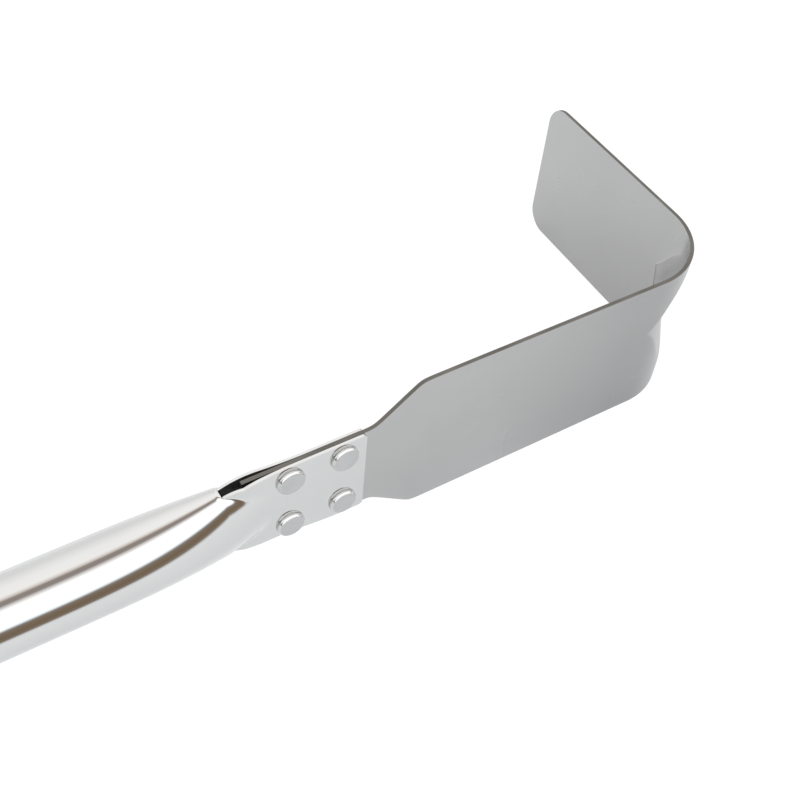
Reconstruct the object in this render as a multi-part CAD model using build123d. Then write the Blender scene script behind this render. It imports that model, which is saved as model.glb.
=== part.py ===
"""Long-handled L-bladed scraper: a tube handle pressed flat over a bent sheet blade and riveted to it.

All sizes are in millimetres.  The parts are drawn in a workshop frame and moved as one to the frame
of the finished part.

Workshop frame: origin where the handle's flat tongues end, on the middle plane of the blade's sheet
and at half its width; +X runs along the handle towards the blade, +Y the way the hoe points, +Z up
across the blade's width.
"""
from build123d import *
from math import cos, pi, radians, sin, sqrt
import os

os.makedirs("parts", exist_ok=True)

# ---- driving dimensions ---------------------------------------------------------------------
TUBE_OD = 25.0          # round part of the handle
TUBE_WALL = 1.0
TUBE_AXIS_Y = 1.8       # the tube's axis stands this far to the hoe's side of the sheet
HANDLE_REAR_X = -574.0  # open rear end of the tube, before its cap

SHEET = 1.5             # blade's sheet
BLADE_WIDTH = 63.5      # across the plate and the hoe
NECK_WIDTH = 36.7       # tang and flattened tongues
NECK_END_X = 3.8        # where the shoulders start to widen
SHOULDER_X = 21.3       # where the blade reaches its full width
SHOULDER_BLEND = 4.0    # rounding of the shoulder's corners
HOE_FACE_X = 155.3      # hoe's outer face, carried on to the sheet's middle plane
HOE_ANGLE = 87.5        # turn of the bend in degrees
HOE_REACH = 111.1       # from that point to the hoe's free edge
BEND_OUTER_R = 31.0
HOE_CORNER_R = 9.5      # free corners of the hoe

DART_R = 10.0           # stiffening dart pressed across the inside of the bend
DART_RISE = 6.0         # height of its ridge over the bend's inner face

FLATTEN_START_X = -122.0  # the round tube starts to be pressed in
SLIT_START_X = -51.6     # blunt end of the slit in the tube's top and bottom
TONGUES_CLOSED_X = -34.5  # from here the tongues lie on the tang
SLIT_WIDTH = 3.8         # at its blunt end
OVAL_HALF_THICK = 8.0    # outside half thickness of the pressed tube where the slit starts
OVAL_HALF_HEIGHT = 15.5  # and its outside half height there
THINNING_POWER = 4       # the oval gets thinner slowly at first
HEIGHTENING_POWER = 2.5
TONGUE_SQUARENESS = 6
TANG_END_X = -44.9       # rear end of the blade's tang, between the tongues
TANG_PLAY = 0.5          # the slit is as wide as the tang from this far behind it
TONGUE_CORNER_R = 1.5
SECTION_POINTS = 32
OVAL_SPANS = 8
CLOSING_SPANS = 6
JOIN_STEP = 0.01         # the pressed stretch is this much thinner on each face than the round tube

RIVET_COLUMNS = {"rear": -28.4, "front": -8.4}
RIVET_ROWS = {"upper": 11.4, "lower": -11.4}
RIVET_SHANK_R = 2.5
RIVET_HOLE_PLAY = 0.05
RIVET_HEAD_R = 5.1
FRONT_HEAD_H = 1.8       # pressed flat, on the side away from the hoe
FRONT_HEAD_BEVEL = 0.6
BACK_HEAD_H = 2.4        # low dome, on the hoe's side

CAP_COLLAR = 12.0        # shoulder of the end cap behind the tube
CAP_SPIGOT = 22.0        # plug inside the tube
CAP_TAB = 26.0           # length of the flat tab that holds the eye
CAP_TAB_THICK = 9.0
COLLAR_R = 12.3          # a little inside the tube's surface, so that a clip slides past it
EYE_R = 4.5
EYE_CHAMFER = 0.6
SPIGOT_PLAY = 0.05

# ---- worked-out sizes -----------------------------------------------------------------------
TUBE_R = TUBE_OD / 2
HALF_WIDTH = BLADE_WIDTH / 2
HALF_NECK = NECK_WIDTH / 2
TONGUE_INNER_Y = SHEET / 2
TONGUE_OUTER_Y = SHEET / 2 + TUBE_WALL
TURN = radians(HOE_ANGLE)
HOE_DIRECTION = Vector(cos(TURN), sin(TURN))
HOE_INWARD = Vector(-sin(TURN), cos(TURN))
CAP_REAR_X = HANDLE_REAR_X - CAP_COLLAR - CAP_TAB
EYE_X = CAP_REAR_X + COLLAR_R

# The finished part's frame: the same directions, with the origin under the middle of its box.
FAR_X = HOE_FACE_X + HOE_REACH * cos(TURN)
FAR_Y = HOE_REACH * sin(TURN) + SHEET * cos(TURN)
NEAR_Y = TUBE_AXIS_Y - TUBE_R
TO_PART_FRAME = Location((-(CAP_REAR_X + FAR_X) / 2, -(FAR_Y + NEAR_Y) / 2, HALF_WIDTH))


def smooth_step(value, low, high):
    """0 below low, 1 above high, and an S-curve with level ends between them."""
    share = min(max((value - low) / (high - low), 0.0), 1.0)
    return share * share * (3 - 2 * share)


def pressed_section(x):
    """Middle, half thickness, half height and squareness of the tube's outside at a place along it.

    Up to the slit the round section becomes an oval, and its thickness and height follow powers of
    the way along.  Past the slit it closes to the tongues on S-curves, while its middle moves over
    from the tube's axis to the sheet.  Squareness 2 is an ellipse and higher is a slab.
    """
    share = min(max((x - FLATTEN_START_X) / (SLIT_START_X - FLATTEN_START_X), 0.0), 1.0)
    closed = smooth_step(x, SLIT_START_X, TONGUES_CLOSED_X)
    half_thick = TUBE_R + (OVAL_HALF_THICK - TUBE_R) * share**THINNING_POWER
    half_height = TUBE_R + (OVAL_HALF_HEIGHT - TUBE_R) * share**HEIGHTENING_POWER
    half_thick += (TONGUE_OUTER_Y - OVAL_HALF_THICK) * closed
    half_height += (HALF_NECK - OVAL_HALF_HEIGHT) * closed
    squareness = 2 + (TONGUE_SQUARENESS - 2) * closed
    return TUBE_AXIS_Y * (1 - closed), half_thick, half_height, squareness


def section_wire(x, inset):
    """Closed curve round the tube's section at x, moved in by inset.

    The height runs as the sine of the angle, and the thickness follows from the rule that the two,
    as shares of their largest, each raised to the squareness, add up to one.
    """
    middle_y, half_thick, half_height, squareness = pressed_section(x)
    points = []
    for step in range(SECTION_POINTS):
        angle = 2 * pi * (step + 0.5) / SECTION_POINTS
        height_share = sin(angle)
        thick_share = (1 - abs(height_share) ** squareness) ** (1 / squareness)
        side = 1 if cos(angle) > 0 else -1
        y = middle_y + side * (half_thick - inset) * thick_share
        points.append(Vector(x, y, (half_height - inset) * height_share))
    return Wire([Edge.make_spline(points, periodic=True)])


def pressed_shell(inset):
    """Solid within a face of the pressed stretch, from the round tube to the closed tongues.

    Straight lines join each section to the next.
    """
    oval_span = (SLIT_START_X - FLATTEN_START_X) / OVAL_SPANS
    closing_span = (TONGUES_CLOSED_X - SLIT_START_X) / CLOSING_SPANS
    places = [FLATTEN_START_X + oval_span * step for step in range(OVAL_SPANS)]
    places += [SLIT_START_X + closing_span * step for step in range(CLOSING_SPANS + 1)]
    return Solid.make_loft([section_wire(x, inset) for x in places], ruled=True)


def cylinder_x(radius, start, end):
    """Round bar on the tube's axis between two places."""
    length = end - start
    return Pos((start + end) / 2, TUBE_AXIS_Y, 0) * Rot(0, 90, 0) * Cylinder(radius, length)


def rivet_holes():
    """Bars across the neck, one where each rivet goes."""
    bars = [
        Pos(x, 0, z) * Rot(90, 0, 0) * Cylinder(RIVET_SHANK_R + RIVET_HOLE_PLAY, 4 * TONGUE_OUTER_Y)
        for x in RIVET_COLUMNS.values()
        for z in RIVET_ROWS.values()
    ]
    return Compound(bars)


def make_tongue(side):
    """Flat plate on one side of the tang, side -1 away from the hoe and +1 towards it."""
    overlap = 1.0
    length = overlap - TONGUES_CLOSED_X
    middle_y = side * (TONGUE_INNER_Y + TONGUE_OUTER_Y) / 2
    plate = Pos(-length / 2, middle_y, 0) * Box(length, TUBE_WALL, NECK_WIDTH)
    end_corners = plate.edges().filter_by(Axis.Y).sort_by(Axis.X)[-2:]
    return fillet(end_corners, TONGUE_CORNER_R)


def make_handle_tube():
    """One tube: round, then pressed in, slit top and bottom, and flat on both sides of the tang."""
    round_part = cylinder_x(TUBE_R, HANDLE_REAR_X, FLATTEN_START_X)
    round_part -= cylinder_x(TUBE_R - TUBE_WALL, HANDLE_REAR_X, FLATTEN_START_X)
    pressed_part = pressed_shell(JOIN_STEP) - pressed_shell(TUBE_WALL - JOIN_STEP)
    slit_plan = Polyline(
        (SLIT_START_X, TUBE_AXIS_Y - SLIT_WIDTH / 2),
        (TANG_END_X - TANG_PLAY, -TONGUE_INNER_Y),
        (1, -TONGUE_INNER_Y),
        (1, TONGUE_INNER_Y),
        (TONGUES_CLOSED_X, TONGUE_INNER_Y),
        (SLIT_START_X, TUBE_AXIS_Y + SLIT_WIDTH / 2),
        close=True,
    )
    slit = extrude(make_face(slit_plan), HALF_WIDTH, both=True)
    tube = (pressed_part - slit) + make_tongue(-1) + make_tongue(1)
    return (tube - rivet_holes()) + round_part


def bend_centre():
    """Middle of the bend's arcs: one outer radius from the plate's face and from the hoe's."""
    y = BEND_OUTER_R - SHEET / 2
    x = HOE_FACE_X + (BEND_OUTER_R - y * HOE_INWARD.Y) / HOE_INWARD.X
    return Vector(x, y)


def make_blade_strip():
    """The sheet seen from above, tang to hoe, as a bent strip of even thickness."""
    centre = bend_centre()
    outer_tip = Vector(HOE_FACE_X, 0) + HOE_DIRECTION * HOE_REACH
    outer_bend_end = centre - HOE_INWARD * BEND_OUTER_R
    inner_r = BEND_OUTER_R - SHEET
    middle = Vector(sin(TURN / 2), -cos(TURN / 2))
    edges = [
        Line((TANG_END_X, -SHEET / 2), (centre.X, -SHEET / 2)),
        ThreePointArc((centre.X, -SHEET / 2), centre + middle * BEND_OUTER_R, outer_bend_end),
        Line(outer_bend_end, outer_tip),
        Line(outer_tip, outer_tip + HOE_INWARD * SHEET),
        Line(outer_tip + HOE_INWARD * SHEET, outer_bend_end + HOE_INWARD * SHEET),
        ThreePointArc(
            outer_bend_end + HOE_INWARD * SHEET, centre + middle * inner_r, (centre.X, SHEET / 2)
        ),
        Line((centre.X, SHEET / 2), (TANG_END_X, SHEET / 2)),
        Line((TANG_END_X, SHEET / 2), (TANG_END_X, -SHEET / 2)),
    ]
    return extrude(make_face(edges), HALF_WIDTH, both=True)


def make_neck_blank():
    """The blank's outline at the tang and shoulders, thick enough to cut the strip with."""
    far = HOE_FACE_X + HOE_REACH
    half = [
        (TANG_END_X, HALF_NECK),
        (NECK_END_X, HALF_NECK),
        (SHOULDER_X, HALF_WIDTH),
        (far, HALF_WIDTH),
    ]
    outline = half + [(x, -z) for x, z in reversed(half)]
    blank = extrude(Plane.XZ * make_face(Polyline(*outline, close=True)), 2 * HOE_REACH, both=True)
    near_shoulder = blank.edges().filter_by(Axis.Y).filter_by(
        lambda edge: NECK_END_X - 1 < edge.center().X < SHOULDER_X + 1
    )
    return fillet(near_shoulder, SHOULDER_BLEND)


def dart_bar(radius):
    """Round bar across the inside of the bend, with its ridge DART_RISE over the inner face."""
    middle = Vector(sin(TURN / 2), -cos(TURN / 2))
    axis_point = bend_centre() + middle * (BEND_OUTER_R - SHEET - DART_RISE + DART_R)
    bar = Rot(0, 90, 0) * Cylinder(radius, 3 * BEND_OUTER_R)
    return Pos(axis_point.X, axis_point.Y, 0) * Rot(0, 0, HOE_ANGLE / 2) * bar


def make_blade():
    """Sheet blade: bent strip cut to the blank's outline, with a dart pressed into the bend."""
    blade = make_blade_strip()
    centre = bend_centre()
    hollow_side = Pos(centre.X, centre.Y, 0) * Cylinder(BEND_OUTER_R - SHEET / 2, BLADE_WIDTH)
    blade += dart_bar(DART_R) & hollow_side
    blade -= dart_bar(DART_R - SHEET)
    blade = blade & make_neck_blank()
    tip_corners = blade.edges().filter_by(lambda edge: abs(edge.length - SHEET) < 0.01)
    tip_corners = tip_corners.sort_by(Axis.Y)[-2:]
    blade = fillet(tip_corners, HOE_CORNER_R)
    return blade - rivet_holes()


def make_rivet():
    """Solid rivet along Y: flat pressed head, shank through three layers, low domed back head."""
    front = -TONGUE_OUTER_Y
    back = TONGUE_OUTER_Y
    dome_r = (RIVET_HEAD_R**2 + BACK_HEAD_H**2) / (2 * BACK_HEAD_H)
    half_profile = [
        Line((0, front - FRONT_HEAD_H), (RIVET_HEAD_R - FRONT_HEAD_BEVEL, front - FRONT_HEAD_H)),
        Line(
            (RIVET_HEAD_R - FRONT_HEAD_BEVEL, front - FRONT_HEAD_H),
            (RIVET_HEAD_R, front - FRONT_HEAD_H + FRONT_HEAD_BEVEL),
        ),
        Line((RIVET_HEAD_R, front - FRONT_HEAD_H + FRONT_HEAD_BEVEL), (RIVET_HEAD_R, front)),
        Line((RIVET_HEAD_R, front), (RIVET_SHANK_R, front)),
        Line((RIVET_SHANK_R, front), (RIVET_SHANK_R, back)),
        Line((RIVET_SHANK_R, back), (RIVET_HEAD_R, back)),
        ThreePointArc(
            (RIVET_HEAD_R, back),
            (
                RIVET_HEAD_R / 2,
                back + BACK_HEAD_H - dome_r + sqrt(dome_r**2 - (RIVET_HEAD_R / 2) ** 2),
            ),
            (0, back + BACK_HEAD_H),
        ),
        Line((0, back + BACK_HEAD_H), (0, front - FRONT_HEAD_H)),
    ]
    return revolve(make_face(half_profile), Axis.Y)


def make_end_cap():
    """Moulded plug: spigot in the tube, round collar behind it, and a flat tab with the eye."""
    collar = cylinder_x(COLLAR_R, CAP_REAR_X, HANDLE_REAR_X)
    tab_slab = Pos(CAP_REAR_X, TUBE_AXIS_Y, 0) * Box(2 * CAP_TAB, 4 * TUBE_R, CAP_TAB_THICK)
    round_end = Pos(EYE_X, TUBE_AXIS_Y, 0) * Cylinder(COLLAR_R, CAP_TAB_THICK)
    before_eye = Pos(EYE_X + CAP_TAB, TUBE_AXIS_Y, 0) * Box(2 * CAP_TAB, 4 * TUBE_R, 4 * TUBE_R)
    behind_collar = Pos(CAP_REAR_X, TUBE_AXIS_Y, 0) * Box(2 * CAP_TAB, 4 * TUBE_R, 4 * TUBE_R)
    tab = tab_slab & collar & (round_end + before_eye)
    cap = (collar - behind_collar) + tab
    spigot_r = TUBE_R - TUBE_WALL - SPIGOT_PLAY
    cap += cylinder_x(spigot_r, HANDLE_REAR_X - 1, HANDLE_REAR_X + CAP_SPIGOT)
    cap -= Pos(EYE_X, TUBE_AXIS_Y, 0) * Cylinder(EYE_R, 4 * TUBE_R)
    eye_rims = cap.edges().filter_by(GeomType.CIRCLE).filter_by(lambda edge: edge.radius == EYE_R)
    return chamfer(eye_rims, EYE_CHAMFER)


parts = {"handle_tube": make_handle_tube(), "blade": make_blade(), "end_cap": make_end_cap()}
for row, z in RIVET_ROWS.items():
    for column, x in RIVET_COLUMNS.items():
        parts[f"rivet_{row}_{column}"] = Pos(x, 0, z) * make_rivet()

for node, shape in parts.items():
    export_step(TO_PART_FRAME * shape, f"parts/{node}.step")

print("part frame shift", TO_PART_FRAME.position)
print("eye", TO_PART_FRAME * Pos(EYE_X, TUBE_AXIS_Y, 0), "bend centre", bend_centre() + TO_PART_FRAME.position)
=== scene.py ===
"""A long-handled L-bladed scraper of stainless steel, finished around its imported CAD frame.

Everything is in metres in the frame of the part: +X along the handle towards the blade, +Y the way
the hoe points, +Z up across the blade's width.
"""
from math import cos, pi, radians, sin

import bpy
import numpy as np
from mathutils import Matrix, Vector


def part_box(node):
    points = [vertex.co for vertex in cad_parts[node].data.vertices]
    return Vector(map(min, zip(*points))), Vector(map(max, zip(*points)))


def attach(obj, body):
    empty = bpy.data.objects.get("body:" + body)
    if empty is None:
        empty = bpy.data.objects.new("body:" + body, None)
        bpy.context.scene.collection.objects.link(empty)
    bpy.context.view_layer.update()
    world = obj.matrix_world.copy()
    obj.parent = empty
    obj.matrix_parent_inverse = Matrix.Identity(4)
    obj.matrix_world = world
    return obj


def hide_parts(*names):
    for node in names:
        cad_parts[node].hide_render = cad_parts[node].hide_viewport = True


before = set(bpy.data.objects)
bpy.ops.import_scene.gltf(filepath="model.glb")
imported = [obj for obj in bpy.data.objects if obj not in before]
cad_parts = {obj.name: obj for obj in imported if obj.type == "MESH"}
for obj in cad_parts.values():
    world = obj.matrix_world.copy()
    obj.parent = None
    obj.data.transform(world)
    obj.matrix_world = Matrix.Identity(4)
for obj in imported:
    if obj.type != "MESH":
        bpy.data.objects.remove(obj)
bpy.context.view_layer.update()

# ---- Camera ----------------------------------------------------------------------------------
# Stands off the front of the neck, above the tool, turned a little about its own line of sight.
# Distances are counted in blade widths from the place where the handle's flat tongues end.
blade_low, blade_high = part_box("blade")
tube_low, tube_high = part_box("handle_tube")
blade_width = blade_high.z - blade_low.z
sheet = 0.0015
neck_end = Vector((tube_high.x, blade_low.y + sheet / 2, (blade_low.z + blade_high.z) / 2))
camera_stand = Vector((-2.132, -3.148, 4.722))
look_bearing = radians(36.555)
look_down = radians(47.656)
camera_roll = radians(6.332)
sensor_width = 0.036
lens_length = 0.051064

look = Vector((sin(look_bearing) * cos(look_down), cos(look_bearing) * cos(look_down), -sin(look_down)))
level_right = look.cross(Vector((0, 0, 1))).normalized()
level_up = level_right.cross(look)
right = level_right * cos(camera_roll) + level_up * sin(camera_roll)
up = level_up * cos(camera_roll) - level_right * sin(camera_roll)
camera_data = bpy.data.cameras.new("studio_camera")
camera_data.sensor_width = sensor_width * 1000
camera_data.lens = lens_length * 1000
camera_data.clip_start = 0.01
camera = bpy.data.objects.new("studio_camera", camera_data)
camera.matrix_world = Matrix.Translation(neck_end + camera_stand * blade_width) @ Matrix(
    (right, up, -look)).transposed().to_4x4()
bpy.context.scene.collection.objects.link(camera)
bpy.context.scene.camera = camera

# ---- Blade -----------------------------------------------------------------------------------
# One blank of 1.5 mm satin stainless sheet: a tang as wide as the handle's tongues, sloping
# shoulders, a long plate and a short hoe with rounded free corners. It is bent round a former, a
# stiffening dart is pressed across the inside of the bend, and its cut edges are left as sheared.
neck_half = 0.0367 / 2
blade_half = blade_width / 2
shoulder_start = neck_end.x + 0.0038
shoulder_end = neck_end.x + 0.0213
shoulder_softness = 0.0012
narrow_half = 0.0160
low_edge_start = neck_end.x - 0.034
low_edge_end = neck_end.x - 0.008
tang_play = 0.0003
hoe_turn = radians(87.5)
bend_radius = 0.031 - sheet / 2
bend_margin = 0.008
hoe_corner = 0.0095
dart_rise = 0.0086
dart_sunk = 0.0011
dart_reach = 0.0168
dart_sharpness = 0.93
dart_crest = 0.0007
dart_height = 0.0055
dart_softness = 0.0005
dart_fade = 0.0024
dart_fade_start = 0.4
edge_round = 0.00036
# Painted shade of the bend: it grows along the plate over the first span and falls to a trace on the hoe over
# the second.
painted_shade_stretch = (neck_end.x + 0.055, neck_end.x + 0.115)
painted_shade_end = (neck_end.x + 0.147, neck_end.x + 0.152)


def smooth_max(first, second, softness):
    """The larger of two values, with a rounded change from one to the other."""
    return 0.5 * (first + second + np.sqrt((first - second) ** 2 + softness**2))


def smooth_min(first, second, softness):
    """The smaller of two values, with a rounded change from one to the other."""
    return -smooth_max(-first, -second, softness)


def smooth_step(value, low, high):
    """0 below low, 1 above high, and an S-curve with level ends between them."""
    share = np.clip((value - low) / (high - low), 0, 1)
    return share * share * (3 - 2 * share)


def low_edge_growth(x):
    """How far the neck's lower edge has come from its narrow start to the neck's half, 0 to 1."""
    return smooth_step(x, low_edge_start, low_edge_end)


def grid_faces(rows, columns, wrapped=False):
    """Corner numbers of the four-sided faces of a grid, joined round its columns if wrapped."""
    row, column = np.meshgrid(
        np.arange(rows - 1), np.arange(columns if wrapped else columns - 1), indexing="ij")
    beside = (column + 1) % columns
    corners = [row * columns + column, row * columns + beside,
               (row + 1) * columns + beside, (row + 1) * columns + column]
    return np.stack(corners, -1).reshape(-1, 4)


def make_piece(name, points, faces, material, nodes):
    """A smooth-shaded piece from points and faces, which rides on the tool and stands for nodes."""
    mesh = bpy.data.meshes.new(name)
    mesh.from_pydata(points.reshape(-1, 3).tolist(), [], [list(face) for face in faces])
    mesh.polygons.foreach_set("use_smooth", np.ones(len(mesh.polygons), bool))
    mesh.materials.append(material)
    mesh.update()
    piece = bpy.data.objects.new(name, mesh)
    bpy.context.scene.collection.objects.link(piece)
    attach(piece, "root")
    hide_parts(*nodes)
    return piece


def thicken(piece, thickness, rounding, cut_edge, outer_face=0):
    """Gives a sheet its even thickness, half to each side, and rounds its cut edges.

    The cut edge has its own material, which the outer face shares if outer_face is 1.
    """
    solidify = piece.modifiers.new("thickness", "SOLIDIFY")
    piece.data.materials.append(cut_edge)
    solidify.material_offset_rim = 1
    solidify.material_offset = outer_face
    solidify.thickness = thickness
    solidify.offset = 0
    solidify.use_even_offset = True
    bevel = piece.modifiers.new("rounded_edges", "BEVEL")
    bevel.width = rounding
    bevel.segments = 2
    bevel.limit_method = "ANGLE"
    bevel.angle_limit = radians(50)
    bevel.harden_normals = True


class Socket:
    """A shader socket that adds a Math node for each sum, difference, product or quotient."""

    def __init__(self, tree, link):
        self.tree = tree
        self.link = link

    def join(self, operation, other, swapped=False):
        """One Math node on this socket and another socket or number."""
        pair = [other, self] if swapped else [self, other]
        return self.tree.node("ShaderNodeMath", {"operation": operation}, {0: pair[0], 1: pair[1]})[0]

    def __add__(self, other):
        return self.join("ADD", other)

    __radd__ = __add__

    def __mul__(self, other):
        return self.join("MULTIPLY", other)

    __rmul__ = __mul__

    def __sub__(self, other):
        return self.join("SUBTRACT", other)

    def __rsub__(self, other):
        return self.join("SUBTRACT", other, swapped=True)


class Finish:
    """A material or world being wired up."""

    def __init__(self, owner):
        owner.use_nodes = True
        self.owner = owner
        self.nodes = owner.node_tree.nodes
        self.links = owner.node_tree.links
        self.nodes.clear()

    def node(self, kind, settings=None, inputs=None):
        """Adds a node, sets it up, feeds its sockets and returns its outputs as Sockets."""
        made = self.nodes.new(kind)
        for name, value in (settings or {}).items():
            if name == "stops":
                ramp = made.color_ramp.elements
                while len(ramp) < len(value):
                    ramp.new(0.5)
                for stop, (place, colour) in zip(ramp, value):
                    stop.position = place
                    stop.color = (*colour, 1)
            else:
                setattr(made, name, value)
        for name, value in (inputs or {}).items():
            if isinstance(value, Socket):
                self.links.new(value.link, made.inputs[name])
            else:
                made.inputs[name].default_value = value
        return [Socket(self, output) for output in made.outputs]

    def place(self):
        """The point on the piece, in the part's own coordinates."""
        return self.node("ShaderNodeTexCoord")[3]

    def spread(self, value, low, high):
        """Carries a value from a range to 0 to 1, clamped at both ends."""
        return self.node("ShaderNodeMapRange", {}, {0: value, 1: low, 2: high})[0]

    def noise(self, place, scale, detail=2.0, roughness=0.5):
        """Soft noise from 0 to 1 at a place vector."""
        return self.node("ShaderNodeTexNoise", {}, {
            "Vector": place, "Scale": scale, "Detail": detail, "Roughness": roughness})[0]

    def stretched(self, place, scale, turn=(0, 0, 0)):
        """A place vector turned and then scaled along each axis."""
        return self.node("ShaderNodeMapping", {}, {
            "Vector": place, "Rotation": turn, "Scale": scale})[0]

    def blend(self, share, first, second):
        """A colour between two colours."""
        return self.node("ShaderNodeMix", {"data_type": "RGBA"}, {0: share, 6: first, 7: second})[2]

    def metal(self, colour, roughness, height, bump_height):
        """Ends the material as bare metal."""
        normal = self.node("ShaderNodeBump", {}, {
            "Strength": 1.0, "Distance": bump_height, "Height": height})[0]
        shader = self.node("ShaderNodeBsdfPrincipled", {}, {
            "Base Color": colour, "Metallic": 1.0, "Roughness": roughness, "Normal": normal})[0]
        self.node("ShaderNodeOutputMaterial", {}, {"Surface": shader})
        return self.owner


def satin_blade_steel():
    """Rolled satin stainless with faint clouds, fine grain and a few hairline scuffs.

    The plate grows darker on its last stretch before the bend, and the hoe is a little darker too; this
    darkening is painted shade from the bend.
    """
    finish = Finish(bpy.data.materials.new("satin_blade_steel"))
    place = finish.place()
    clouds = finish.noise(place, 19.0, 3.0, 0.55)
    grain = finish.noise(finish.stretched(place, (260, 1600, 1600)), 1.0, 2.0)
    long_scuffs = finish.noise(finish.stretched(place, (18, 500, 500), (0, radians(24), 0)), 1.0, 1.0)
    cross_scuffs = finish.noise(finish.stretched(place, (500, 500, 22), (0, radians(-12), 0)), 1.0, 1.0)
    scuffs = finish.spread(long_scuffs, 0.72, 0.80) + finish.spread(cross_scuffs, 0.73, 0.82)
    along = finish.node("ShaderNodeSeparateXYZ", {}, {0: place})[0]
    # Painted shade: a darker mix on the plate's last stretch before the bend, weaker on the hoe.
    growing = finish.spread(along, *painted_shade_stretch)
    painted_bend_shade = growing * (1 - 0.85 * finish.spread(along, *painted_shade_end))
    plain = finish.blend(clouds, (0.465, 0.463, 0.463, 1), (0.58, 0.578, 0.576, 1))
    colour = finish.blend(painted_bend_shade * 0.62 * (0.5 + clouds), plain, (0.33, 0.328, 0.332, 1))
    roughness = 0.16 + clouds * 0.08 + grain * 0.05 + scuffs * 0.08
    height = grain * 0.4 - scuffs * 0.3 + clouds * 0.3
    return finish.metal(colour, roughness, height, 0.00001)


def sheared_edge_steel():
    """The sheet's cut edge: darker and less glossy, with fine shear marks across the thickness."""
    finish = Finish(bpy.data.materials.new("sheared_edge_steel"))
    place = finish.place()
    marks = finish.noise(place, 1800.0, 2.0)
    burn = finish.noise(place, 90.0, 2.0)
    colour = finish.blend(burn, (0.11, 0.105, 0.095, 1), (0.22, 0.21, 0.195, 1))
    return finish.metal(colour, 0.34 + marks * 0.18, marks, 0.00002)


def bend_centre_and_tip():
    """Middle of the bend's arc, and the hoe's free edge, both on the sheet's middle surface."""
    along = np.array([cos(hoe_turn), sin(hoe_turn)])
    inward = np.array([-sin(hoe_turn), cos(hoe_turn)])
    outer_tip = np.array([blade_high.x, blade_high.y - sheet * cos(hoe_turn)])
    tip = outer_tip + inward * sheet / 2
    centre_y = neck_end.y + bend_radius
    centre_x = tip[0] + (bend_radius - (centre_y - tip[1]) * inward[1]) / inward[0]
    return np.array([centre_x, centre_y]), tip, along, inward


def blade_surface():
    """Middle surface of the blade as a grid of points.

    One parameter runs along the bent strip: straight tang and plate, an arc of the bend's radius,
    and the straight hoe.  The other runs across it as a share of the half width, which grows along
    the shoulders and follows a quarter circle at the hoe's free corners.  The tang's lower half is
    narrower, like the tongues'.  In the bend each point moves towards the bend's middle, as far as
    the dart's flat stands in from the arc.  The dart's height falls away from a sharp crest by the
    exponential of the distance across the blade, and fades out before the blade's edges.
    """
    centre, tip, along, inward = bend_centre_and_tip()
    bend_length = bend_radius * hoe_turn
    bend_start = centre[0] - blade_low.x
    hoe_length = float(np.dot(tip - (centre - inward * bend_radius), along))
    total = bend_start + bend_length + hoe_length
    fine_start = bend_start - bend_margin
    fine_end = bend_start + bend_length + bend_margin
    quarter = np.sin(np.linspace(0, pi / 2, 14))
    run = np.concatenate([
        np.linspace(0, fine_start, 130, endpoint=False),
        np.linspace(fine_start, fine_end, 110, endpoint=False),
        np.linspace(fine_end, total - hoe_corner, 60, endpoint=False),
        total - hoe_corner + hoe_corner * quarter])
    share = np.linspace(-1, 1, 91)
    plain_x = blade_low.x + run
    slope = (blade_half - neck_half) / (shoulder_end - shoulder_start)
    widening = neck_half + slope * (plain_x - shoulder_start)
    half = smooth_min(smooth_max(widening, neck_half, shoulder_softness), blade_half, shoulder_softness)
    past_corner = np.clip(run - (total - hoe_corner), 0, hoe_corner)
    half = half - hoe_corner + np.sqrt(hoe_corner**2 - past_corner**2)
    low_half = half - (neck_half - narrow_half + tang_play) * (1 - low_edge_growth(plain_x))
    across = share[None, :] * np.where(share < 0, low_half[:, None], half[:, None])

    turned = np.clip((run - bend_start) / bend_radius, 0, hoe_turn)
    past_bend = np.maximum(run - bend_start - bend_length, 0)
    x = np.where(run < bend_start, plain_x, centre[0] + bend_radius * np.sin(turned))
    y = np.where(run < bend_start, neck_end.y, centre[1] - bend_radius * np.cos(turned))
    x = x + past_bend * along[0]
    y = y + past_bend * along[1]

    offset_x = x - centre[0]
    offset_y = y - centre[1]
    middle = np.array([sin(hoe_turn / 2), -cos(hoe_turn / 2)])
    outward = offset_x * middle[0] + offset_y * middle[1]
    from_crest = (np.sqrt((across - dart_height) ** 2 + dart_crest**2) - dart_crest) / dart_reach
    ridge = (dart_rise + dart_sunk) * np.exp(-(from_crest**dart_sharpness)) - dart_sunk
    ridge = ridge - dart_fade * smooth_step(
        np.abs(across), dart_fade_start * blade_half, blade_half)
    stand_in = outward[:, None] - (bend_radius - ridge)
    depth = smooth_max(stand_in, 0.0, dart_softness)
    depth = depth - smooth_max(outward[:, None] - 2 * bend_radius, 0.0, dart_softness)
    moved_x = x[:, None] - depth * middle[0]
    moved_y = y[:, None] - depth * middle[1]
    return np.stack([moved_x, moved_y, neck_end.z + across], -1)


blade_points = blade_surface()
blade_piece = make_piece(
    "blade_sheet", blade_points, grid_faces(*blade_points.shape[:2]),
    satin_blade_steel(), ["blade"])
thicken(blade_piece, sheet, edge_round, sheared_edge_steel())

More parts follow.
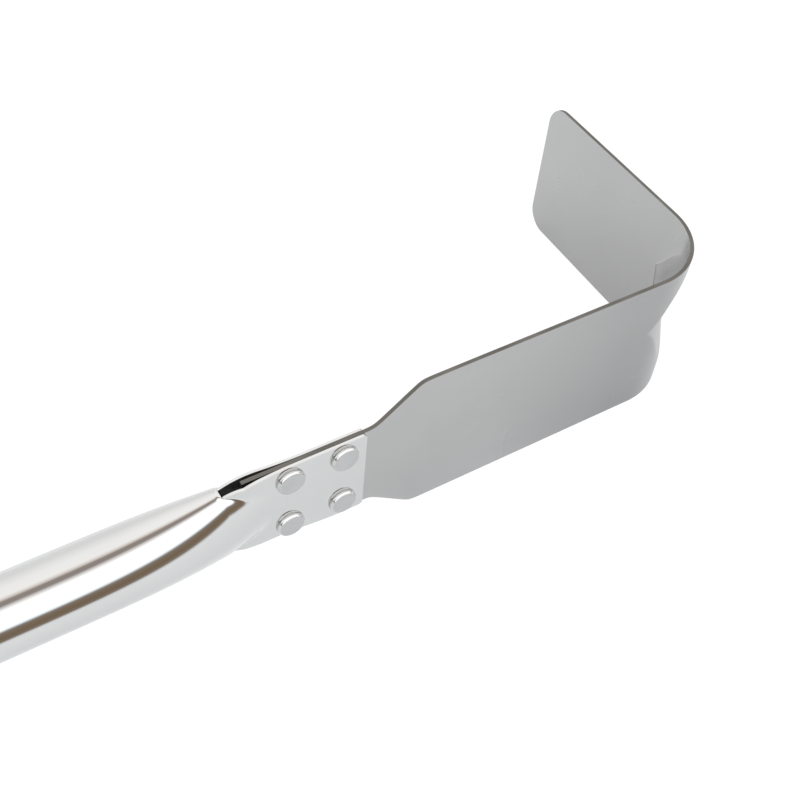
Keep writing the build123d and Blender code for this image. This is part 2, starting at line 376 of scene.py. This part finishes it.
# ---- Handle tube -----------------------------------------------------------------------------
# One 25 mm stainless tube with a 1 mm wall, mirror-polished outside and dull inside. Towards the
# head it is pressed to an oval and slit at the top and bottom, and past the slit's start it is
# pressed flat on the blade's tang, so that the oval ends in a rounded nose on each tongue.
tube_radius = (tube_high.y - tube_low.y) / 2
tube_axis_y = (tube_low.y + tube_high.y) / 2
tube_wall = 0.001
press_start = neck_end.x - 0.122
press_margin = 0.002
slot_start = neck_end.x - 0.0516
front_edge_out = neck_end.x - 0.0449
top_edge_grown = neck_end.x - 0.0385
nose_end = neck_end.x - 0.0321
front_tongue_closed = neck_end.x - 0.029
back_tongue_closed = neck_end.x - 0.020
oval_half_thick = 0.00754
oval_half_height = 0.0150
thinning_power = 4
heightening_power = 2.5
nose_thinning = 0.00654
nose_closing_power = 6
nose_bluntness = 0.34
nose_rise = 0.0010
slot_edge_turn = radians(75)
low_edge_run = 0.014
crease_softness = 0.0007
crease_start_run = 0.004
tongue_middle = (sheet + tube_wall) / 2 + 0.00002
tongue_gap = 0.0009
gap_power = 4
front_edge_power = 1.4
tongue_corner = 0.0015
corner_run = 0.004
tube_edge_round = 0.0002
tiny = 1e-6


def polished_tube_steel():
    """Mirror polish with a trace of haze and fine wiping marks round the tube."""
    finish = Finish(bpy.data.materials.new("polished_tube_steel"))
    place = finish.place()
    haze = finish.noise(place, 40.0, 2.0)
    wiping = finish.noise(finish.stretched(place, (1400, 60, 60)), 1.0, 2.0)
    colour = finish.blend(haze, (0.70, 0.703, 0.70, 1), (0.73, 0.733, 0.731, 1))
    roughness = 0.045 + haze * 0.03 + wiping * 0.02
    return finish.metal(colour, roughness, wiping, 0.0000008)


def drawn_bore_steel():
    """The unpolished inside of the tube: dark and matt, as the mill draws it."""
    finish = Finish(bpy.data.materials.new("drawn_bore_steel"))
    place = finish.place()
    lines = finish.noise(finish.stretched(place, (40, 1200, 1200)), 1.0, 2.0)
    colour = finish.blend(lines, (0.20, 0.195, 0.19, 1), (0.27, 0.265, 0.26, 1))
    return finish.metal(colour, 0.45 + lines * 0.15, lines, 0.00001)


def oval_section(x):
    """Middle, half thickness and half height of the pressed oval, on the middle of the wall.

    Up to the slot the thickness falls and the height grows, each by a power of the way along.  Past
    the slot the oval is a blunt nose: its thickness falls in line with the way along and then to
    nothing by a high power of it, and its height is a power of the way that is left.
    """
    middle_radius = tube_radius - tube_wall / 2
    pressed = np.clip((x - press_start) / (slot_start - press_start), 0, 1)
    thick = middle_radius + (oval_half_thick - middle_radius) * pressed**thinning_power
    high = middle_radius + (oval_half_height - middle_radius) * pressed**heightening_power
    along_nose = np.clip((x - slot_start) / (nose_end - slot_start), 0, 1)
    thick = thick - nose_thinning * along_nose
    thick = thick - (oval_half_thick - nose_thinning) * along_nose**nose_closing_power
    high = high * np.maximum(1 - along_nose, tiny) ** nose_bluntness
    middle = (tube_axis_y - neck_end.y) * (1 - along_nose)
    return middle, thick, high


def tube_surface():
    """Middle surface of the tube's wall as a grid, rings along the tube and points round each.

    The height is the sine of the angle times the half height, which past the slot grows to the
    tongues', quickly at the top edge and in two steps at the bottom one.  Up to the slot the section
    is an ellipse.  Past it each side is the larger of the nose's thickness there, by the ellipse's
    rule, and the flat tongue's distance from the sheet.  The front tongue comes out from the slot's
    edge and stands off the tang a little at its top, and the back one comes in slowly.  The last
    rings draw back at the tongues' corners along a quarter circle.
    """
    rings = np.concatenate([
        np.linspace(tube_low.x, press_start - press_margin, 24, endpoint=False),
        np.linspace(press_start - press_margin, slot_start, 70, endpoint=False),
        np.linspace(slot_start, front_tongue_closed, 110, endpoint=False),
        np.linspace(front_tongue_closed, neck_end.x, 50)])
    face_turns = np.linspace(-slot_edge_turn, slot_edge_turn, 73)
    fold_turns = np.linspace(slot_edge_turn, pi - slot_edge_turn, 15)[1:-1]
    turns = np.concatenate([face_turns, fold_turns, pi - face_turns[::-1], fold_turns + pi])
    middle, thick, high = (value[:, None] for value in oval_section(rings))
    past_slot = (rings > slot_start - tiny)[:, None]
    height_share = np.sin(turns)[None, :]
    side = np.sign(np.cos(turns))[None, :]

    still_growing = ((top_edge_grown - rings) / (top_edge_grown - slot_start)).clip(0, 1)
    upper = neck_half / sin(slot_edge_turn)
    upper = upper + (oval_half_height - upper) * still_growing**2
    lower = narrow_half / sin(slot_edge_turn) - oval_half_height
    lower = oval_half_height + lower * smooth_step(rings, slot_start, slot_start + low_edge_run)
    lower = lower + (neck_half - narrow_half) / sin(slot_edge_turn) * low_edge_growth(rings)
    full = np.where(height_share < 0, lower[:, None], upper[:, None])
    z = np.where(past_slot, full, high) * height_share
    along_nose = np.clip((rings - slot_start) / (nose_end - slot_start), 0, 1)[:, None]
    within = np.clip(np.abs(z - nose_rise * along_nose) / high, 0, 1)
    oval_depth = thick * np.sqrt(1 - within**2) - side * middle
    edge_share = cos(slot_edge_turn)
    axis_offset = tube_axis_y - neck_end.y
    front_at_slot = oval_half_thick * edge_share - axis_offset
    back_at_slot = oval_half_thick * edge_share + axis_offset
    front_gap = tongue_gap * (1 - smooth_step(rings, front_edge_out, front_tongue_closed))
    front_gap = front_gap[:, None] * height_share.clip(0, 1) ** gap_power
    front_out = ((rings - slot_start) / (front_edge_out - slot_start)).clip(0, 1)
    front_out = front_out[:, None] ** front_edge_power
    front_flat = front_at_slot + (tongue_middle + front_gap - front_at_slot) * front_out
    back_in = ((rings - slot_start) / (back_tongue_closed - slot_start)).clip(0, 1)
    back_flat = tongue_middle + (back_at_slot - tongue_middle) * (1 - back_in) ** 2
    flat_depth = np.where(side > 0, front_flat, back_flat[:, None])
    softness = crease_softness * smooth_step(rings, slot_start, slot_start + crease_start_run)
    pressed_depth = smooth_max(oval_depth, flat_depth, softness[:, None] + tiny)
    y = -side * np.where(past_slot, pressed_depth, oval_depth)

    corner = np.clip(np.abs(z) - (neck_half - tongue_corner), 0, tongue_corner)
    draw_back = tongue_corner - np.sqrt(tongue_corner**2 - corner**2)
    x = rings[:, None] - draw_back * smooth_step(rings, neck_end.x - corner_run, neck_end.x)[:, None]
    points = np.stack([x, neck_end.y + y, neck_end.z + z], -1)
    faces = grid_faces(len(rings), len(turns), wrapped=True)
    first_ring = faces[:, 0] // len(turns)
    place_round = faces[:, 0] % len(turns)
    near = len(face_turns) - 1
    in_top_fold = (place_round >= near) & (place_round < near + len(fold_turns) + 1)
    in_bottom_fold = place_round >= 2 * near + len(fold_turns) + 1
    cut = (rings[first_ring] > slot_start - tiny) & (in_top_fold | in_bottom_fold)
    return points, faces[~cut]


def without_loose_points(points, faces):
    """Drops the points that no face uses."""
    used, renumbered = np.unique(faces, return_inverse=True)
    return points.reshape(-1, 3)[used], renumbered.reshape(faces.shape)


tube_points, tube_faces = without_loose_points(*tube_surface())
tube_piece = make_piece(
    "handle_tube_shell", tube_points, tube_faces, drawn_bore_steel(), ["handle_tube"])
thicken(tube_piece, tube_wall, tube_edge_round, polished_tube_steel(), outer_face=1)

# ---- Rivets ----------------------------------------------------------------------------------
# Four solid stainless rivets go through both tongues and the tang. The front heads are pressed
# flat on a wider flange and have bright rims, and the heads on the hoe's side are low domes.
rivet_nodes = sorted(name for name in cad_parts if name.startswith("rivet"))
head_rim = 0.00032
rim_turn = radians(62)
edge_play = 0.0001
step_width = 0.00042
step_hollow = 0.0003
ring_inset = 0.0006
ring_width = 0.00012
ring_depth = 0.00006
shank_share = 0.49


def rivet_steel():
    """Satin on the pressed faces and bright on the rims, by the face's own polish value."""
    finish = Finish(bpy.data.materials.new("rivet_steel"))
    place = finish.place()
    polish = finish.node("ShaderNodeAttribute", {"attribute_name": "polish"})[2]
    clouds = finish.noise(place, 220.0, 3.0)
    grain = finish.noise(place, 2600.0, 2.0)
    satin = finish.blend(clouds, (0.53, 0.535, 0.54, 1), (0.64, 0.645, 0.65, 1))
    colour = finish.blend(polish, satin, (0.66, 0.66, 0.655, 1))
    roughness = 0.30 + clouds * 0.08 - polish * 0.26
    return finish.metal(colour, roughness, grain * (1 - polish), 0.000006)


def rivet_outline(low, high, tongue_face):
    """Half outline of a rivet from the middle of its flat head to the middle of its dome.

    Columns are the distance from the axis, the place along it and the polish.  The flat head has
    a faint pressed ring and a rounded rim on a wider flange that bulges as an arc.  The dome is
    an arc too.
    """
    head = (high.x - low.x) / 2
    shank = head * shank_share
    front = neck_end.y - tongue_face
    back = neck_end.y + tongue_face
    face = head - step_width
    flat = np.linspace(0, face - head_rim, 40)
    ring = ring_depth * np.exp(-(((flat - face + ring_inset) / ring_width) ** 2))
    flat = np.stack([flat, low.y + ring, np.zeros(40)], 1)
    bend = np.linspace(0, rim_turn, 8)[1:]
    rim = np.stack([face - head_rim + head_rim * np.sin(bend),
                    low.y + head_rim - head_rim * np.cos(bend), smooth_step(bend, 0.1, 0.7)], 1)
    swell = np.linspace(-rim_turn, pi / 2, 12)
    foot = rim[-1, 1] + step_hollow
    flange_rim = (front - foot) / 2
    flange = np.stack([head - flange_rim + flange_rim * np.cos(swell),
                       front - flange_rim + flange_rim * np.sin(swell), np.ones(12)], 1)
    sides = np.array([[shank, front, 1], [shank, back, 1],
                      [head - edge_play, back, 1], [head, back + edge_play, 1]])
    rise = high.y - back
    dome_radius = (head**2 + rise**2) / (2 * rise)
    widest = np.arcsin(head / dome_radius)
    swing = np.linspace(widest, 0, 12)[1:]
    dome = np.stack([dome_radius * np.sin(swing),
                     high.y - dome_radius * (1 - np.cos(swing)), np.full(11, 0.4)], 1)
    return np.concatenate([flat, rim, flange, sides, dome])


def turned_surface(outline, centre_x, centre_z, count):
    """Turns a half outline about a line along Y: rings of points and faces, closed at both ends."""
    turn = np.linspace(0, 2 * pi, count, endpoint=False)
    ring = outline[1:-1]
    x = centre_x + ring[:, 0, None] * np.cos(turn)
    z = centre_z + ring[:, 0, None] * np.sin(turn)
    y = np.repeat(ring[:, 1, None], count, 1)
    points = np.stack([x, y, z], -1).reshape(-1, 3)
    poles = np.array([[centre_x, outline[0, 1], centre_z], [centre_x, outline[-1, 1], centre_z]])
    faces = grid_faces(len(ring), count, wrapped=True).tolist()
    here = np.arange(count)
    beside = (here + 1) % count
    last = (len(ring) - 1) * count
    first_pole = np.full(count, len(points))
    faces += np.stack([first_pole, beside, here], 1).tolist()
    faces += np.stack([last + here, last + beside, first_pole + 1], 1).tolist()
    polish = np.concatenate([np.repeat(ring[:, 2], count), outline[[0, -1], 2]])
    return np.concatenate([points, poles]), faces, polish


bright_rivet_steel = rivet_steel()
for node in rivet_nodes:
    low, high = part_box(node)
    outline = rivet_outline(low, high, sheet / 2 + tube_wall)
    points, faces, polish = turned_surface(outline, (low.x + high.x) / 2, (low.z + high.z) / 2, 64)
    rivet = make_piece(f"{node}_turned", points, faces, bright_rivet_steel, [node])
    rivet.data.attributes.new("polish", "FLOAT", "POINT").data.foreach_set(
        "value", polish.astype(np.float32))

# ---- End cap ---------------------------------------------------------------------------------
# A plug of black moulded plastic pressed into the tube's open rear end, with an eye to hang by.


def moulded_cap_plastic():
    """Black plastic with a fine spark-eroded mould texture."""
    finish = Finish(bpy.data.materials.new("moulded_cap_plastic"))
    place = finish.place()
    texture = finish.noise(place, 1500.0, 3.0)
    wear = finish.noise(place, 60.0, 2.0)
    colour = finish.blend(wear, (0.018, 0.018, 0.019, 1), (0.03, 0.03, 0.031, 1))
    normal = finish.node("ShaderNodeBump", {}, {"Strength": 1.0, "Distance": 0.00003, "Height": texture})[0]
    shader = finish.node("ShaderNodeBsdfPrincipled", {}, {
        "Base Color": colour, "Roughness": 0.42 + wear * 0.16, "Normal": normal})[0]
    finish.node("ShaderNodeOutputMaterial", {}, {"Surface": shader})
    return finish.owner


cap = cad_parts["end_cap"]
cap.data.materials.clear()
cap.data.materials.append(moulded_cap_plastic())

# ---- Studio ----------------------------------------------------------------------------------
# A pale floor under a white tent. The tent has a long soft light low on the camera's side, a
# narrow dark gap overhead and a dark strip at the height of the horizon. The floor shines evenly
# to the camera, and mirror reflections see it only near the tool and the tent's foot beyond.
floor_size = 40.0
table_edge = (0.16, 0.24)
glow_seen = 0.86
glow_mirrored = 0.30
floor_mesh = bpy.data.meshes.new("floor")
floor_mesh.from_pydata(
    [(-floor_size, -floor_size, 0), (floor_size, -floor_size, 0),
     (floor_size, floor_size, 0), (-floor_size, floor_size, 0)], [], [(0, 1, 2, 3)])
floor = bpy.data.objects.new("floor", floor_mesh)
bpy.context.scene.collection.objects.link(floor)
paint = Finish(bpy.data.materials.new("pale_floor"))
rays = paint.node("ShaderNodeLightPath")
spot = paint.node("ShaderNodeSeparateXYZ", {}, {0: paint.place()})
out_from_tool = paint.node("ShaderNodeMath", {"operation": "ABSOLUTE"}, {0: spot[1]})[0]
beyond_table = paint.spread(out_from_tool, *table_edge) * rays[3]
lit = paint.node("ShaderNodeBsdfDiffuse", {}, {"Color": (0.845, 0.87, 0.895, 1)})[0]
glow = paint.node("ShaderNodeEmission", {}, {"Color": (1, 1, 1, 1), "Strength": 1.08})[0]
open_air = paint.node("ShaderNodeBsdfTransparent")[0]
seen_floor = paint.node("ShaderNodeMixShader", {}, {
    0: rays[0] * glow_seen + rays[3] * glow_mirrored, 1: lit, 2: glow})[0]
paint.node("ShaderNodeOutputMaterial", {}, {"Surface": paint.node("ShaderNodeMixShader", {}, {
    0: beyond_table, 1: seen_floor, 2: open_air})[0]})
floor_mesh.materials.append(paint.owner)

tent_bands = [
    (-90, (0.80, 0.83, 0.86)), (-17, (0.76, 0.79, 0.81)), (-10, (0.28, 0.22, 0.17)),
    (-2, (0.22, 0.165, 0.11)), (9, (0.26, 0.19, 0.13)), (15, (0.30, 0.27, 0.25)),
    (21, (1.30, 1.36, 1.40)), (30, (1.5, 1.53, 1.54)), (66, (1.6, 1.6, 1.6)),
    (75, (0.95, 0.92, 0.90)), (82, (0.36, 0.31, 0.29)), (92, (0.36, 0.31, 0.27)),
    (98, (0.90, 0.82, 0.76)), (106, (1.19, 1.17, 1.14)), (130, (1.15, 1.14, 1.13)),
    (150, (1.03, 1.02, 1.00)), (165, (0.92, 0.92, 0.91)), (270, (0.88, 0.89, 0.90))]
brightest = 1.6

tent = Finish(bpy.data.worlds.new("tent"))
way = tent.node("ShaderNodeTexCoord")[0]
part = tent.node("ShaderNodeSeparateXYZ", {}, {0: way})
flipped = tent.node("ShaderNodeMath", {"operation": "MULTIPLY"}, {0: part[1], 1: -1.0})[0]
height = tent.node("ShaderNodeMath", {"operation": "ARCTAN2"}, {0: part[2], 1: flipped})[0]
wrapped = tent.node("ShaderNodeMath", {"operation": "WRAP"}, {0: height, 1: radians(270), 2: radians(-90)})[0]
place = tent.spread(wrapped, radians(-90), radians(270))
stops = [((angle + 90) / 360, tuple(channel / brightest for channel in colour))
         for angle, colour in tent_bands]
bands = tent.node("ShaderNodeValToRGB", {"stops": stops}, {0: place})[0]
seen = tent.node("ShaderNodeLightPath")[0]
tent_glow = tent.node("ShaderNodeBackground", {}, {"Color": bands, "Strength": brightest})[0]
plain_glow = tent.node("ShaderNodeBackground", {}, {"Color": (1, 1, 1, 1), "Strength": 1.0})[0]
mixed = tent.node("ShaderNodeMixShader", {}, {0: seen, 1: tent_glow, 2: plain_glow})[0]
tent.node("ShaderNodeOutputWorld", {}, {"Surface": mixed})
bpy.context.scene.world = tent.owner
bpy.context.scene.view_settings.view_transform = "Standard"
